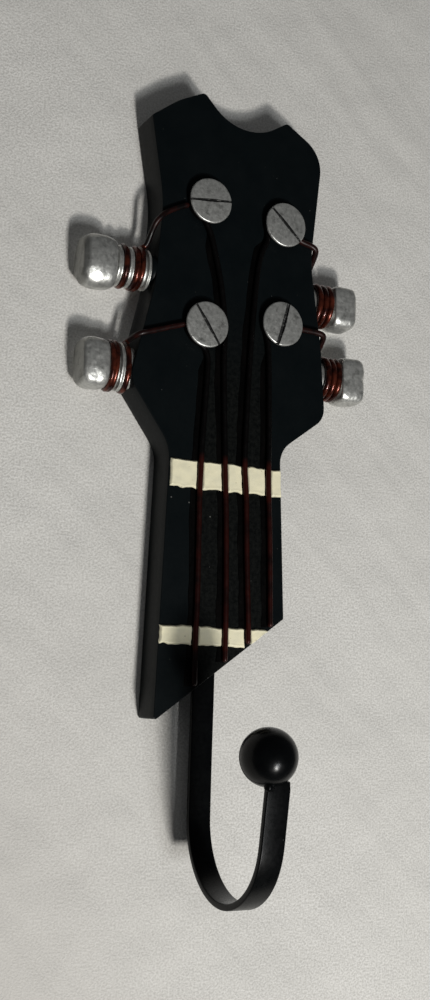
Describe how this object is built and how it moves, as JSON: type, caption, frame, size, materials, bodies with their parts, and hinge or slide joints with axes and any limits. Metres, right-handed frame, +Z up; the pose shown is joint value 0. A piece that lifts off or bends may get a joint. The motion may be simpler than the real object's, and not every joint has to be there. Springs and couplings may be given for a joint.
{
  "type": "headstock wall hook",
  "caption": "Wall hook shaped like a bass guitar headstock, with slotted post caps, wire-wound tuner buttons, strings and a ball-tipped flat steel J hook.",
  "frame": {"origin": "centre of the keyhole's round entry, in the plane of the plaque's back face", "axes": "+Z up when hung, +Y into the wall, +X to the right of a viewer who faces the front"},
  "size_m": [0.1239, 0.073, 0.307],
  "materials": {
    "black_resin": "satin",
    "ivory_paint": "satin",
    "aged_silver": "satin",
    "red_wire": "gloss",
    "black_steel": "satin",
    "zinc_steel": "satin"
  },
  "bodies": {
    "root": {"headstock_body": "black_resin", "nut_bar": "ivory_paint", "fret_bar": "ivory_paint", "hanger_plate": "zinc_steel", "hanger_screws": "zinc_steel", "hook_bar": "black_steel", "hook_ball": "black_steel", "hook_screws": "zinc_steel", "post_cap_1": "aged_silver", "post_cap_2": "aged_silver", "post_cap_3": "aged_silver", "post_cap_4": "aged_silver", "post_spacer_1": "black_resin", "post_spacer_2": "black_resin", "post_spacer_3": "black_resin", "post_spacer_4": "black_resin", "tuner_shaft_1": "aged_silver", "tuner_shaft_2": "aged_silver", "tuner_shaft_3": "aged_silver", "tuner_shaft_4": "aged_silver", "tuner_button_1": "aged_silver", "tuner_button_2": "aged_silver", "tuner_button_3": "aged_silver", "tuner_button_4": "aged_silver", "string_1": "red_wire", "string_2": "red_wire", "string_3": "red_wire", "string_4": "red_wire", "tuner_wire_1": "red_wire", "tuner_wire_2": "red_wire", "tuner_wire_3": "red_wire", "tuner_wire_4": "red_wire"}
  },
  "joints": []
}
